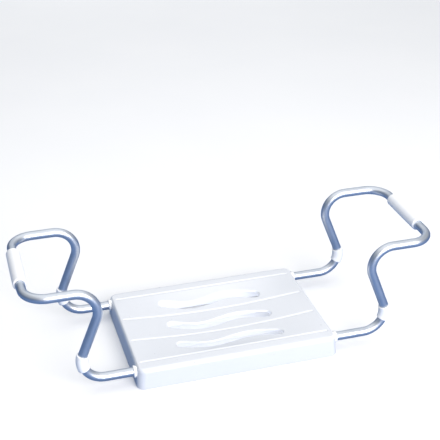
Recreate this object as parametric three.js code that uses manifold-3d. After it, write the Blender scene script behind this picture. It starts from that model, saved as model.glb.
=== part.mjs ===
// Bath transfer bench: a moulded seat that hangs inside a bath on two bent tubes.
// Units are millimetres. +X is the sitter's left to right across the bath, +Y is the back, +Z is up.
// The origin is the middle of the seat in plan, at the level of the seat's lower rim.
import * as THREE from "three";
import { mergeVertices } from "three/addons/utils/BufferGeometryUtils.js";
import Module from "manifold-3d";

const wasm = await Module();
wasm.setup();

// ---- Seat ----
const SEAT_WIDTH = 404;
const SEAT_DEPTH = 290;
const SEAT_HEIGHT = 42;
const SEAT_CORNER_RADIUS = 16;
const SEAT_EDGE_RADIUS = 8;
const SEAT_DRAFT = 3.5;
const TOP_THICKNESS = 4;
const SKIRT_THICKNESS = 3;
const DISH_DEPTH = 12;
const DISH_HALF_LENGTH = 117;
const DISH_POWER = 2.4;
const DISH_COLUMNS = 12;
const DISH_ROWS = 8;

// ---- Planks, grooves and drain slots in the seat's top ----
const PLANK_PITCH = 78;
const GROOVE_WIDTH = 5;
const GROOVE_DEPTH = 2;
const GROOVE_END_MARGIN = 8;
const SLOT_WIDTH = 22;
const SLOT_LENGTH = 218;
const SLOT_PITCH = 76.5;
const SLOT_SHIFT_Y = -2.5;
const SLOT_WAVE_HEIGHT = 9;
const SLOT_WAVE_LENGTH = 175;
const SLOT_SLOPE = -0.04;
const SLOT_STEPS = 16;
const SLOT_END_STEPS = 6;

// ---- Ribs under the seat ----
const RIB_THICKNESS = 2.5;
const RIB_BOTTOM = 6;
const CHANNEL_RIB_Y = 102;
const CROSS_RIB_X = 125;
const GUIDE_WEB_X = 92;
const GUIDE_WEB_THICKNESS = 3;
const GUIDE_WEB_BOTTOM = 14;

// ---- Hanger tubes ----
const TUBE_RADIUS = 9;
const TUBE_WALL = 1.5;
const BEND_RADIUS = 43;
const LEG_Y = 123;
const LEG_Z = 28;
const LEG_END_X = 50;
const LOWER_CORNER_X = 329;
const UPPER_CORNER_X = 252.5;
const CROSSBAR_X = 402.5;
const ARM_Z = 219;
const TUBE_CURVE_SEGMENTS = 7;
const STEPS_PER_BEND = 7;

// Each hanger slides in or out of the seat to suit the bath. The bench is set a little to the right.
const LEFT_SETTING = -4;
const RIGHT_SETTING = 4;

// ---- Fittings on the tubes ----
const FIT_GAP = 0.4;
const GRIP_RADIUS = 13.5;
const GRIP_LENGTH = 120;
const RIGHT_GRIP_SHIFT = 5;
const BUMPER_RADIUS = 12;
const BUMPER_START = -24;
const BUMPER_END = 18;
const BUMPER_STEPS = 4;
const BUMPER_GAP = 0.8;
const SLEEVE_EDGE = 2;
const PLUG_FLANGE = 2;
const PLUG_DEPTH = 12;

// ---- Bushes where the tubes enter the seat ----
const BUSH_FLANGE_RADIUS = 11.8;
const BUSH_FLANGE = 4;
const BUSH_BODY_RADIUS = 10.5;
const BUSH_INSIDE = 3;
const BUSH_SEAT_X = 204.6;

// ---- Clamps under the seat ----
const CLAMP_X = 150;
const CLAMP_LENGTH = 30;
const CLAMP_DEPTH = 34;
const CLAMP_BOTTOM = 13;
const SCREW_OFFSET_Y = 13.5;
const SCREW_RADIUS = 2;
const SCREW_HEAD_RADIUS = 3.8;
const SCREW_HEAD_HEIGHT = 3;
const SCREW_TIP_Z = 35;
const SCREW_RECESS = 1.2;
const BOSS_RADIUS = 4;
const COUNTERBORE_DEPTH = 4;

const ROUND_SEGMENTS = 16;
const SMALL_SEGMENTS = 10;
const OVERCUT = 1;

// ---- Materials ----
function surface(color, roughness, metalness) {
  return () => new THREE.MeshStandardMaterial({ color, roughness, metalness });
}

const whitePlastic = surface(0xe9edf2, 0.3, 0);
const gripPlastic = surface(0xf6f7f8, 0.5, 0);
const polishedTube = surface(0xc9d2dc, 0.12, 1);
const greyPlastic = surface(0xd5d9dd, 0.55, 0);
const screwSteel = surface(0xb9bdc2, 0.3, 1);

// ---- Solids ----
function toSolid(geometry) {
  const bare = geometry.index ? geometry.toNonIndexed() : geometry.clone();
  bare.deleteAttribute("normal");
  bare.deleteAttribute("uv");
  const merged = mergeVertices(bare, 1e-4);
  const index = merged.index.array;
  const triVerts = [];
  for (let i = 0; i < index.length; i += 3) {
    const [a, b, c] = [index[i], index[i + 1], index[i + 2]];
    if (a !== b && b !== c && c !== a) {
      triVerts.push(a, b, c);
    }
  }
  return new wasm.Manifold(new wasm.Mesh({
    numProp: 3,
    vertProperties: new Float32Array(merged.attributes.position.array),
    triVerts: new Uint32Array(triVerts),
  }));
}

function toGeometry(solid) {
  const mesh = solid.getMesh();
  const geometry = new THREE.BufferGeometry();
  geometry.setAttribute("position", new THREE.BufferAttribute(mesh.vertProperties, 3));
  geometry.setIndex(new THREE.BufferAttribute(mesh.triVerts, 1));
  geometry.computeVertexNormals();
  return geometry;
}

function addMesh(parent, name, geometry, material) {
  const mesh = new THREE.Mesh(geometry, material());
  mesh.name = name;
  parent.add(mesh);
  return mesh;
}

// A box given by its middle in plan and its lower and upper heights.
function block(x, y, width, depth, bottom, top, columns = 1, rows = 1) {
  const geometry = new THREE.BoxGeometry(width, depth, top - bottom, columns, rows, 1);
  return geometry.translate(x, y, (bottom + top) / 2);
}

// An upright round bar.
function post(x, y, radius, bottom, top, segments) {
  const geometry = new THREE.CylinderGeometry(radius, radius, top - bottom, segments);
  return geometry.rotateX(Math.PI / 2).translate(x, y, (bottom + top) / 2);
}

// A round bar along X.
function barAlongX(x, y, z, radius, length, segments) {
  const geometry = new THREE.CylinderGeometry(radius, radius, length, segments);
  return geometry.rotateZ(Math.PI / 2).translate(x, y, z);
}

function roundedRectangle(width, depth, radius) {
  const [x, y] = [width / 2, depth / 2];
  const shape = new THREE.Shape();
  shape.moveTo(x, y - radius);
  shape.absarc(x - radius, y - radius, radius, 0, Math.PI / 2);
  shape.absarc(-x + radius, y - radius, radius, Math.PI / 2, Math.PI);
  shape.absarc(-x + radius, -y + radius, radius, Math.PI, 1.5 * Math.PI);
  shape.absarc(x - radius, -y + radius, radius, 1.5 * Math.PI, 2 * Math.PI);
  return shape;
}

// ---- Seat ----
// The seat's top sinks towards its middle. It is level at the ends and beyond the border grooves.
function dishOffset(x, y) {
  const along = Math.cos(Math.PI * THREE.MathUtils.clamp(x / SEAT_WIDTH, -0.5, 0.5));
  const across = Math.max(0, 1 - Math.abs(y / DISH_HALF_LENGTH) ** DISH_POWER);
  return -DISH_DEPTH * along * across;
}

// Bends a solid to the dish. Its vertices at the height levelZ stay where they are.
function dished(geometry, levelZ) {
  const position = geometry.attributes.position;
  for (let i = 0; i < position.count; i += 1) {
    if (Math.abs(position.getZ(i) - levelZ) > 1e-3) {
      const offset = dishOffset(position.getX(i), position.getY(i));
      position.setZ(i, position.getZ(i) + offset);
    }
  }
  return geometry;
}

// Spreads a solid towards the lower rim, so that the skirt slopes outwards on every side.
function drafted(geometry) {
  const position = geometry.attributes.position;
  for (let i = 0; i < position.count; i += 1) {
    const spread = SEAT_DRAFT * (1 - position.getZ(i) / SEAT_HEIGHT);
    position.setX(i, position.getX(i) * (1 + spread / (SEAT_WIDTH / 2)));
    position.setY(i, position.getY(i) * (1 + spread / (SEAT_DEPTH / 2)));
  }
  return geometry;
}

function seatBlank() {
  const outline = roundedRectangle(
    SEAT_WIDTH - 2 * SEAT_EDGE_RADIUS,
    SEAT_DEPTH - 2 * SEAT_EDGE_RADIUS,
    SEAT_CORNER_RADIUS - SEAT_EDGE_RADIUS,
  );
  const blank = new THREE.ExtrudeGeometry(outline, {
    depth: SEAT_HEIGHT,
    bevelSize: SEAT_EDGE_RADIUS,
    bevelThickness: SEAT_EDGE_RADIUS,
    bevelSegments: 4,
    curveSegments: 3,
  });
  blank.translate(0, 0, -SEAT_EDGE_RADIUS);
  const below = block(0, 0, SEAT_WIDTH * 2, SEAT_DEPTH * 2, -SEAT_HEIGHT, 0);
  return toSolid(drafted(blank)).subtract(toSolid(below));
}

function seatCavity() {
  const inner = [SEAT_WIDTH - 2 * SKIRT_THICKNESS, SEAT_DEPTH - 2 * SKIRT_THICKNESS];
  const outline = roundedRectangle(...inner, SEAT_CORNER_RADIUS - SKIRT_THICKNESS);
  const plan = new THREE.ExtrudeGeometry(outline, {
    depth: SEAT_HEIGHT * 2,
    bevelEnabled: false,
    curveSegments: 3,
  });
  plan.translate(0, 0, -SEAT_HEIGHT);
  const top = SEAT_HEIGHT - TOP_THICKNESS;
  const under = [-OVERCUT, top, DISH_COLUMNS, DISH_ROWS];
  const middle = block(0, 0, SEAT_WIDTH + 4 * SEAT_DRAFT, 2 * DISH_HALF_LENGTH, ...under);
  const sides = [-1, 1].map((side) => {
    const width = SEAT_DEPTH / 2 - DISH_HALF_LENGTH + 2 * SEAT_DRAFT;
    const y = side * (DISH_HALF_LENGTH + width / 2);
    return toSolid(block(0, y, 2 * SEAT_WIDTH, width, -OVERCUT, top));
  });
  return toSolid(dished(middle, -OVERCUT))
    .add(sides[0]).add(sides[1])
    .intersect(toSolid(drafted(plan)));
}

// A wave-shaped slot: its middle line follows a sine with a slight slope, and its ends are round.
function slotCutter(middleY) {
  const waveNumber = 2 * Math.PI / SLOT_WAVE_LENGTH;
  const lineY = (x) => middleY + SLOT_WAVE_HEIGHT * Math.sin(waveNumber * x) + SLOT_SLOPE * x;
  const heading = (x) => Math.atan(SLOT_WAVE_HEIGHT * waveNumber * Math.cos(waveNumber * x) + SLOT_SLOPE);
  const half = SLOT_WIDTH / 2;
  const reach = SLOT_LENGTH / 2 - half;
  const points = [];
  const addPoint = (x, angle) => {
    points.push(new THREE.Vector2(x + half * Math.cos(angle), lineY(x) + half * Math.sin(angle)));
  };
  for (let i = 0; i <= SLOT_STEPS; i += 1) {
    const x = -reach + 2 * reach * i / SLOT_STEPS;
    addPoint(x, heading(x) - Math.PI / 2);
  }
  for (let i = 1; i < SLOT_END_STEPS; i += 1) {
    addPoint(reach, heading(reach) - Math.PI / 2 + Math.PI * i / SLOT_END_STEPS);
  }
  for (let i = SLOT_STEPS; i >= 0; i -= 1) {
    const x = -reach + 2 * reach * i / SLOT_STEPS;
    addPoint(x, heading(x) + Math.PI / 2);
  }
  for (let i = 1; i < SLOT_END_STEPS; i += 1) {
    addPoint(-reach, heading(-reach) + Math.PI / 2 + Math.PI * i / SLOT_END_STEPS);
  }
  const cutter = new THREE.ExtrudeGeometry(new THREE.Shape(points), {
    depth: SEAT_HEIGHT,
    bevelEnabled: false,
  });
  return toSolid(cutter.translate(0, 0, SEAT_HEIGHT / 2));
}

function grooveCutter(y) {
  const above = SEAT_HEIGHT + DISH_DEPTH;
  const length = SEAT_WIDTH - 2 * GROOVE_END_MARGIN;
  const bottom = SEAT_HEIGHT - GROOVE_DEPTH;
  return toSolid(dished(block(0, y, length, GROOVE_WIDTH, bottom, above, DISH_COLUMNS), above));
}

function seatRibs() {
  const top = SEAT_HEIGHT - TOP_THICKNESS / 2;
  const innerWidth = SEAT_WIDTH - SKIRT_THICKNESS;
  const along = [-CHANNEL_RIB_Y, -PLANK_PITCH / 2, PLANK_PITCH / 2, CHANNEL_RIB_Y].map((y) =>
    dished(block(0, y, innerWidth, RIB_THICKNESS, RIB_BOTTOM, top, DISH_COLUMNS), RIB_BOTTOM));
  const across = [-CROSS_RIB_X, CROSS_RIB_X].map((x) =>
    dished(block(x, 0, RIB_THICKNESS, 2 * CHANNEL_RIB_Y, RIB_BOTTOM, top, 1, DISH_ROWS), RIB_BOTTOM));
  return [...along, ...across].map(toSolid);
}

// A web across each tube channel, with a hole that guides the tube's inner end.
function guideWeb(sideX, sideY) {
  const outer = SEAT_DEPTH / 2 - SKIRT_THICKNESS / 2;
  const depth = outer - CHANNEL_RIB_Y;
  const x = sideX * GUIDE_WEB_X;
  const y = sideY * (CHANNEL_RIB_Y + depth / 2);
  const top = SEAT_HEIGHT - TOP_THICKNESS / 2;
  const web = block(x, y, GUIDE_WEB_THICKNESS, depth, GUIDE_WEB_BOTTOM, top, 1, DISH_ROWS);
  const hole = barAlongX(x, sideY * LEG_Y, LEG_Z, TUBE_RADIUS + FIT_GAP, 20, ROUND_SEGMENTS);
  return toSolid(dished(web, GUIDE_WEB_BOTTOM)).subtract(toSolid(hole));
}

const CORNERS = [[-1, -1], [-1, 1], [1, -1], [1, 1]];
const SCREW_SPOTS = CORNERS.flatMap(([sideX, sideY]) => [-1, 1].map((row) => ({
  x: sideX * CLAMP_X,
  y: sideY * (LEG_Y + row * SCREW_OFFSET_Y),
  name: `${sideX < 0 ? "left" : "right"}_${sideY < 0 ? "front" : "back"}_${row < 0 ? "inner" : "outer"}`,
})));

function seatShell() {
  const above = SEAT_HEIGHT + DISH_DEPTH;
  const bowl = block(
    0, 0, SEAT_WIDTH, 2 * DISH_HALF_LENGTH, SEAT_HEIGHT, above, DISH_COLUMNS, DISH_ROWS,
  );
  let seat = seatBlank().subtract(toSolid(dished(bowl, above))).subtract(seatCavity());
  for (const rib of seatRibs()) {
    seat = seat.add(rib);
  }
  for (const [sideX, sideY] of CORNERS) {
    seat = seat.add(guideWeb(sideX, sideY));
  }
  for (const { x, y } of SCREW_SPOTS) {
    const boss = post(x, y, BOSS_RADIUS, LEG_Z, SEAT_HEIGHT - TOP_THICKNESS / 2, SMALL_SEGMENTS);
    const pilot = post(x, y, SCREW_RADIUS + 0.3, 0, SCREW_TIP_Z + OVERCUT, SMALL_SEGMENTS);
    seat = seat.add(toSolid(boss)).subtract(toSolid(pilot));
  }
  for (const [sideX, sideY] of CORNERS) {
    const radius = BUSH_BODY_RADIUS + 0.3;
    const hole = barAlongX(sideX * SEAT_WIDTH / 2, sideY * LEG_Y, LEG_Z, radius, 20, ROUND_SEGMENTS);
    seat = seat.subtract(toSolid(hole));
  }
  for (const row of [-1, 0, 1]) {
    seat = seat.subtract(slotCutter(row * SLOT_PITCH + SLOT_SHIFT_Y));
  }
  for (const row of [-1.5, -0.5, 0.5, 1.5]) {
    seat = seat.subtract(grooveCutter(row * PLANK_PITCH));
  }
  return toGeometry(seat);
}

// ---- Hanger tubes ----
// A route of straights and round bends. One station stands at each end of a straight and at each
// step of a bend, and the curve runs from station to station.
class TubeRoute extends THREE.Curve {
  constructor(stations) {
    super();
    this.stations = stations;
  }

  getPoint(t, target = new THREE.Vector3()) {
    const place = t * (this.stations.length - 1);
    const i = Math.min(Math.floor(place), this.stations.length - 2);
    return target.lerpVectors(this.stations[i].point, this.stations[i + 1].point, place - i);
  }

  getPointAt(u, target) {
    return this.getPoint(u, target);
  }

  getTangentAt(u, target = new THREE.Vector3()) {
    const i = Math.round(u * (this.stations.length - 1));
    return target.copy(this.stations[i].tangent);
  }
}

function arcStations(centre, from, to, steps) {
  const axis = new THREE.Vector3().crossVectors(from, to).normalize();
  const sweep = from.angleTo(to);
  return Array.from({ length: steps + 1 }, (_, i) => {
    const radial = from.clone().applyAxisAngle(axis, sweep * i / steps);
    const tangent = new THREE.Vector3().crossVectors(axis, radial).normalize();
    return { point: centre.clone().add(radial), tangent };
  });
}

// Turns a list of corner points into stations, with every inner corner bent to the bend radius.
function bentStations(corners) {
  const first = corners[1].clone().sub(corners[0]).normalize();
  const stations = [{ point: corners[0], tangent: first }];
  for (let i = 1; i < corners.length - 1; i += 1) {
    const before = corners[i].clone().sub(corners[i - 1]).normalize();
    const after = corners[i + 1].clone().sub(corners[i]).normalize();
    const turn = before.angleTo(after);
    const inward = after.clone().sub(before).normalize();
    const centre = corners[i].clone().addScaledVector(inward, BEND_RADIUS / Math.cos(turn / 2));
    const setback = BEND_RADIUS * Math.tan(turn / 2);
    const start = corners[i].clone().addScaledVector(before, -setback).sub(centre);
    const end = corners[i].clone().addScaledVector(after, setback).sub(centre);
    stations.push(...arcStations(centre, start, end, STEPS_PER_BEND));
  }
  const last = corners.at(-1).clone().sub(corners.at(-2)).normalize();
  stations.push({ point: corners.at(-1), tangent: last });
  return stations;
}

function ringShape(outer, inner) {
  const shape = new THREE.Shape().absarc(0, 0, outer, 0, 2 * Math.PI);
  shape.holes.push(new THREE.Path().absarc(0, 0, inner, 0, 2 * Math.PI, true));
  return shape;
}

function sweepRing(outer, inner, stations) {
  return toGeometry(toSolid(new THREE.ExtrudeGeometry(ringShape(outer, inner), {
    steps: stations.length - 1,
    curveSegments: TUBE_CURVE_SEGMENTS,
    extrudePath: new TubeRoute(stations),
  })));
}

// One tube runs from under the seat, out and up to an arm, round the crossbar and back again.
function hangerTube(side) {
  const half = [
    [LEG_END_X, LEG_Z],
    [LOWER_CORNER_X, LEG_Z],
    [UPPER_CORNER_X, ARM_Z],
    [CROSSBAR_X, ARM_Z],
  ].map(([x, z]) => new THREE.Vector3(side * x, -LEG_Y, z));
  const otherHalf = half.map(({ x, y, z }) => new THREE.Vector3(x, -y, z)).reverse();
  return sweepRing(TUBE_RADIUS, TUBE_RADIUS - TUBE_WALL, bentStations([...half, ...otherHalf]));
}

// ---- Fittings ----
// A ring turned about Z from z = 0 up to its length, with softened outer edges.
function turnedSleeve(outer, inner, length, edge) {
  const profile = [
    [inner, 0],
    [outer - edge, 0],
    [outer - edge * 0.3, edge * 0.3],
    [outer, edge],
    [outer, length - edge],
    [outer - edge * 0.3, length - edge * 0.3],
    [outer - edge, length],
    [inner, length],
    [inner, 0],
  ].map(([r, z]) => new THREE.Vector2(r, z));
  return new THREE.LatheGeometry(profile, ROUND_SEGMENTS).rotateX(Math.PI / 2);
}

// A sleeve on the crossbar for the hand and the bath's rim. The right one has crept a little backwards.
function gripSleeve(side) {
  const sleeve = turnedSleeve(GRIP_RADIUS, TUBE_RADIUS + FIT_GAP, GRIP_LENGTH, SLEEVE_EDGE);
  const back = GRIP_LENGTH / 2 + (side > 0 ? RIGHT_GRIP_SHIFT : 0);
  sleeve.rotateX(Math.PI / 2).translate(side * CROSSBAR_X, back, ARM_Z);
  return toGeometry(toSolid(sleeve));
}

// A sleeve round the outermost part of the lower bend, which meets the bath's wall.
function bumperSleeve(side, sideY) {
  const riser = new THREE.Vector2(UPPER_CORNER_X - LOWER_CORNER_X, ARM_Z - LEG_Z);
  const setback = BEND_RADIUS * Math.tan(riser.angle() / 2);
  const centre = new THREE.Vector3(
    side * (LOWER_CORNER_X - setback), sideY * LEG_Y, LEG_Z + BEND_RADIUS,
  );
  const [from, to] = [BUMPER_START, BUMPER_END].map((degrees) => {
    const angle = THREE.MathUtils.degToRad(degrees);
    return new THREE.Vector3(side * BEND_RADIUS * Math.cos(angle), 0, BEND_RADIUS * Math.sin(angle));
  });
  const stations = arcStations(centre, from, to, BUMPER_STEPS);
  return sweepRing(BUMPER_RADIUS, TUBE_RADIUS + BUMPER_GAP, stations);
}

// A plug that closes the tube's inner end.
function endPlug(side, sideY) {
  const bodyRadius = TUBE_RADIUS - TUBE_WALL - FIT_GAP;
  const profile = [
    [0, -PLUG_FLANGE - 0.3],
    [TUBE_RADIUS - 1, -PLUG_FLANGE - 0.3],
    [TUBE_RADIUS, -PLUG_FLANGE + 0.7],
    [TUBE_RADIUS, -0.3],
    [bodyRadius, -0.3],
    [bodyRadius, PLUG_DEPTH - 1],
    [bodyRadius - 1, PLUG_DEPTH],
    [0, PLUG_DEPTH],
  ].map(([r, z]) => new THREE.Vector2(r, z));
  const plug = new THREE.LatheGeometry(profile, ROUND_SEGMENTS);
  plug.rotateZ(-side * Math.PI / 2).translate(side * LEG_END_X, sideY * LEG_Y, LEG_Z);
  return toGeometry(toSolid(plug));
}

// A flanged bush in the seat's side wall. Its flange stands outside.
function entryBush(side, sideY) {
  const [bore, body] = [TUBE_RADIUS + FIT_GAP, BUSH_BODY_RADIUS];
  const inside = -(BUSH_SEAT_X - SEAT_WIDTH / 2) - SKIRT_THICKNESS - BUSH_INSIDE;
  const profile = [
    [bore, inside],
    [body, inside],
    [body, 0],
    [BUSH_FLANGE_RADIUS, 0],
    [BUSH_FLANGE_RADIUS, BUSH_FLANGE - 1],
    [BUSH_FLANGE_RADIUS - 1, BUSH_FLANGE],
    [bore, BUSH_FLANGE],
    [bore, inside],
  ].map(([r, z]) => new THREE.Vector2(r, z));
  const bush = new THREE.LatheGeometry(profile, ROUND_SEGMENTS);
  bush.rotateZ(-side * Math.PI / 2).translate(side * BUSH_SEAT_X, sideY * LEG_Y, LEG_Z);
  return toGeometry(toSolid(bush));
}

// A saddle under each leg, pulled up against the tube by two screws.
function clampSaddle(side, sideY) {
  const [x, y] = [side * CLAMP_X, sideY * LEG_Y];
  let saddle = toSolid(block(x, y, CLAMP_LENGTH, CLAMP_DEPTH, CLAMP_BOTTOM, LEG_Z - 0.3));
  const groove = barAlongX(x, y, LEG_Z, TUBE_RADIUS + FIT_GAP, CLAMP_LENGTH * 2, ROUND_SEGMENTS);
  saddle = saddle.subtract(toSolid(groove));
  for (const row of [-1, 1]) {
    const holeY = y + row * SCREW_OFFSET_Y;
    const hole = post(x, holeY, SCREW_RADIUS + 0.3, 0, SEAT_HEIGHT, SMALL_SEGMENTS);
    const counterboreTop = CLAMP_BOTTOM + COUNTERBORE_DEPTH;
    const counterbore = post(x, holeY, SCREW_HEAD_RADIUS + 0.4, 0, counterboreTop, ROUND_SEGMENTS);
    saddle = saddle.subtract(toSolid(hole)).subtract(toSolid(counterbore));
  }
  return toGeometry(saddle);
}

// A pan-head screw with a cross recess, standing head down.
function clampScrew({ x, y }) {
  const headTop = CLAMP_BOTTOM + COUNTERBORE_DEPTH - 0.3;
  const headBottom = headTop - SCREW_HEAD_HEIGHT;
  const profile = [
    [0, headBottom],
    [SCREW_HEAD_RADIUS - 1, headBottom],
    [SCREW_HEAD_RADIUS, headBottom + 1],
    [SCREW_HEAD_RADIUS, headTop],
    [SCREW_RADIUS, headTop],
    [SCREW_RADIUS, SCREW_TIP_Z - 2],
    [0.5, SCREW_TIP_Z],
    [0, SCREW_TIP_Z],
  ].map(([r, z]) => new THREE.Vector2(r, z));
  const turned = new THREE.LatheGeometry(profile, SMALL_SEGMENTS).rotateX(Math.PI / 2);
  let screw = toSolid(turned);
  const [low, high] = [headBottom - OVERCUT, headBottom + SCREW_RECESS];
  screw = screw.subtract(toSolid(block(0, 0, 4, 1, low, high)));
  screw = screw.subtract(toSolid(block(0, 0, 1, 4, low, high)));
  return toGeometry(screw).translate(x, y, 0);
}

// ---- Assembly ----
const bench = new THREE.Group();
addMesh(bench, "seat_shell", seatShell(), whitePlastic);

for (const [sideName, side, setting] of [["left", -1, LEFT_SETTING], ["right", 1, RIGHT_SETTING]]) {
  const hanger = new THREE.Group();
  hanger.position.x = side * setting;
  bench.add(hanger);
  addMesh(hanger, `${sideName}_hanger_tube`, hangerTube(side), polishedTube);
  addMesh(hanger, `${sideName}_grip_sleeve`, gripSleeve(side), gripPlastic);
  for (const [endName, sideY] of [["front", -1], ["back", 1]]) {
    const leg = `${sideName}_${endName}`;
    addMesh(hanger, `${leg}_bumper`, bumperSleeve(side, sideY), gripPlastic);
    addMesh(hanger, `${leg}_end_plug`, endPlug(side, sideY), greyPlastic);
    addMesh(bench, `${leg}_entry_bush`, entryBush(side, sideY), gripPlastic);
    addMesh(bench, `${leg}_clamp`, clampSaddle(side, sideY), greyPlastic);
  }
}
for (const spot of SCREW_SPOTS) {
  addMesh(bench, `${spot.name}_screw`, clampScrew(spot), screwSteel);
}

export default bench;
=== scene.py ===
"""Bath transfer bench: a dished white seat hung between two bent metal tubes, built on its CAD frame.

Shapes are worked out in millimetres and become metres as each mesh is made.
+X is the sitter's left to right, +Y is the back, +Z is up.
"""
import math

import bmesh
import bpy
import numpy as np
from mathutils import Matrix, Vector


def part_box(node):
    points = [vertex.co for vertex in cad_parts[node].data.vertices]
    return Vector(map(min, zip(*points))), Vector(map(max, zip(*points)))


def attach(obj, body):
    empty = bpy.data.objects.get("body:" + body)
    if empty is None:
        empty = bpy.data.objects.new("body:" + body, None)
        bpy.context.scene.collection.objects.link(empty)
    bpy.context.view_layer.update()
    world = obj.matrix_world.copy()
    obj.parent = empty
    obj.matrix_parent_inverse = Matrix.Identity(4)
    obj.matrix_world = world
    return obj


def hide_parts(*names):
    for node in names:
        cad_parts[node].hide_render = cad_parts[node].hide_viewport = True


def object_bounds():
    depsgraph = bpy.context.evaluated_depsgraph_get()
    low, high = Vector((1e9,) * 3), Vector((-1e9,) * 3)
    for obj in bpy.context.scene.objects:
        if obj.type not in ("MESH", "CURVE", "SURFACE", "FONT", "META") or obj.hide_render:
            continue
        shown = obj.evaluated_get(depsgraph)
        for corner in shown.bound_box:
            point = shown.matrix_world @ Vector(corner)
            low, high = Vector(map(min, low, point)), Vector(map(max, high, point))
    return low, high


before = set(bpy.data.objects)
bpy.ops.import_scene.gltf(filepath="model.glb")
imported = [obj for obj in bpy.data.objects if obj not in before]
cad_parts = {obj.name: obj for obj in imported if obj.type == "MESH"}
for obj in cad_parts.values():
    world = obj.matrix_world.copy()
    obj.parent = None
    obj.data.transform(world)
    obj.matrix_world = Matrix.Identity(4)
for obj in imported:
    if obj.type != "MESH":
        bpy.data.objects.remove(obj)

cad_low, cad_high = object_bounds()

MM = 0.001
SIDES = (("left", -1), ("right", 1))
ENDS = (("front", -1), ("back", 1))


def box_mm(node):
    """Lowest and highest corner of a CAD node, in millimetres."""
    low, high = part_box(node)
    return np.array(low) / MM, np.array(high) / MM


# ---- Sizes read from the frame ----
seat_low, seat_high = box_mm("seat_shell")
SEAT_DRAFT = 3.5
SEAT_HEIGHT = seat_high[2] - seat_low[2]
SEAT_WIDTH = seat_high[0] - seat_low[0] - 2 * SEAT_DRAFT
SEAT_DEPTH = seat_high[1] - seat_low[1] - 2 * SEAT_DRAFT
TUBE_RADIUS = 9.0
TUBE_WALL = 1.5
tube_low, tube_high = box_mm("right_hanger_tube")
LEG_Y = tube_high[1] - TUBE_RADIUS
LEG_Z = tube_low[2] + TUBE_RADIUS
ARM_Z = tube_high[2] - TUBE_RADIUS

# ---- Seat ----
CORNER_RADIUS = 16.0
EDGE_RADIUS = 8.0
END_EDGE_SHARE = 0.55
LEAST_CORNER_RADIUS = 4.0
RIM_ROUNDING = 0.8
SKIRT_HEIGHTS = (12, 24)
TOP_THICKNESS = 4.0
SKIRT_THICKNESS = 3.0
HOLLOW_ROUNDING = 4.0
DISH_DEPTH = 12.0
DISH_HALF_LENGTH = 117.0
DISH_POWER = 2.4
DISH_OVERREACH = 6
PLANK_PITCH = 78.0
GROOVE_DEPTH = 2.4
GROOVE_HALF_WIDTH = 4.0
GROOVE_END_MARGIN = 8.0
GROOVE_FADE = GROOVE_HALF_WIDTH * 1.6
GROOVE_END_WIDTH = 0.25
GROOVE_LIP_POWER = 0.8
GROOVE_CLEARANCE = 0.03
GROOVE_END_DROP = 0.02
SLOT_HALF_WIDTH = 11.0
SLOT_REACH = 98.0
SLOT_PITCH = 76.5
SLOT_SHIFT_Y = -2.5
SLOT_WAVE_HEIGHT = 9.0
SLOT_WAVE_LENGTH = 175.0
SLOT_SLOPE = -0.04
SLOT_LIP = 2.6
SLOT_LIP_ANGLE = 78
SLOT_LIP_FLARE = 1.15
SLOT_CLEARANCE = 0.08
SLOT_CUT_BOTTOM = SEAT_HEIGHT / 2 - 6
RIB_BOTTOM = 6.0
RIB_HALF_THICKNESS = 1.5
RIB_TAPER = 0.5
RIB_END_INSET = 1
CHANNEL_RIB_Y = 102.0
CROSS_RIB_X = 125.0
GUIDE_WEB_X = 92.0
GUIDE_WEB_BOTTOM = 14.0
WEB_HALF_THICKNESS = 1.7
WEB_TAPER = 0.3
WEB_HOLE_GAP = 0.5
ENTRY_HOLE_RADIUS = 10.8
BOSS_RADIUS = 4
SCREW_HOLE_RADIUS = 2.3

# ---- Hangers ----
# The reaches are measured inwards from the crossbar.
LOWER_CORNER_REACH = 73.5
UPPER_CORNER_REACH = 150.0
BEND_RADIUS = 43.0
# The bumper's ends are in degrees round the lower bend.
BUMPER_START = -24.0
BUMPER_END = 18.0
BUMPER_ROUNDING = 0.8
SLEEVE_GAP = 0.3
GRIP_SWELL = 0.25
GRIP_COLLAR_DEPTH = 0.35
GRIP_COLLAR_WIDTH = 0.8
GRIP_COLLAR_INSET = 8
GRIP_ROUNDING = 2.4

# ---- Fittings ----
BUSH_GAP = 0.35
BUSH_BODY_RADIUS = 10.5
BUSH_FLANGE_LENGTH = 4
BUSH_FLANGE_ROUNDING = 1.6
BUSH_MOUTH_ROUNDING = 0.6
PLUG_GAP = 0.3
PLUG_FLANGE_INSET = 0.1
PLUG_FLANGE_LENGTH = 2.0
PLUG_FLANGE_ROUNDING = 1.4
PLUG_RIDGES = 8
PLUG_RIDGE_START = 3.2
PLUG_RIDGE_DEPTH = 0.3
PLUG_LEAD_IN = 1.2
CLAMP_CORNER_RADIUS = 4
CLAMP_LOWER_ROUNDING = 1.5
CLAMP_UPPER_ROUNDING = 0.6
CLAMP_GROOVE_GAP = 0.4
COUNTERBORE_RADIUS = 4.2
COUNTERBORE_DEPTH = 4
SHANK_RADIUS = 2.0
HEAD_HEIGHT = 3.0
HEAD_DOME_HEIGHT = 1.6
HEAD_DOME_ANGLE = 80
THREAD_PITCH = 1.3
SCREW_POINT_LENGTH = 2
RECESS_LENGTH = 3.8
RECESS_WIDTH = 0.9
RECESS_DEPTH = 1.6

# ---- Camera: metres, degrees, and millimetres for its lens and sensor ----
CAMERA_PLACE = (-0.4976, -1.6712, 1.1782)
CAMERA_PITCH = 62.30
CAMERA_YAW = -16.636
CAMERA_LENS = 82.13
CAMERA_SENSOR = 36.0
CAMERA_REACH = 100.0

# ---- Stage ----
FLOOR_HALF_SIZE = 30.0
SKY_STRENGTH = 0.70
SKY_TILT = 0.15
COOL_WHITE = (0.99, 0.995, 1.0)
KEY_WHITE = (1.0, 0.965, 0.945)
WARM_WHITE = (1.0, 0.975, 0.94)

# Where the noise textures' useful range starts and ends.
NOISE_LOW = 0.3
NOISE_HIGH = 0.7

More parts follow.
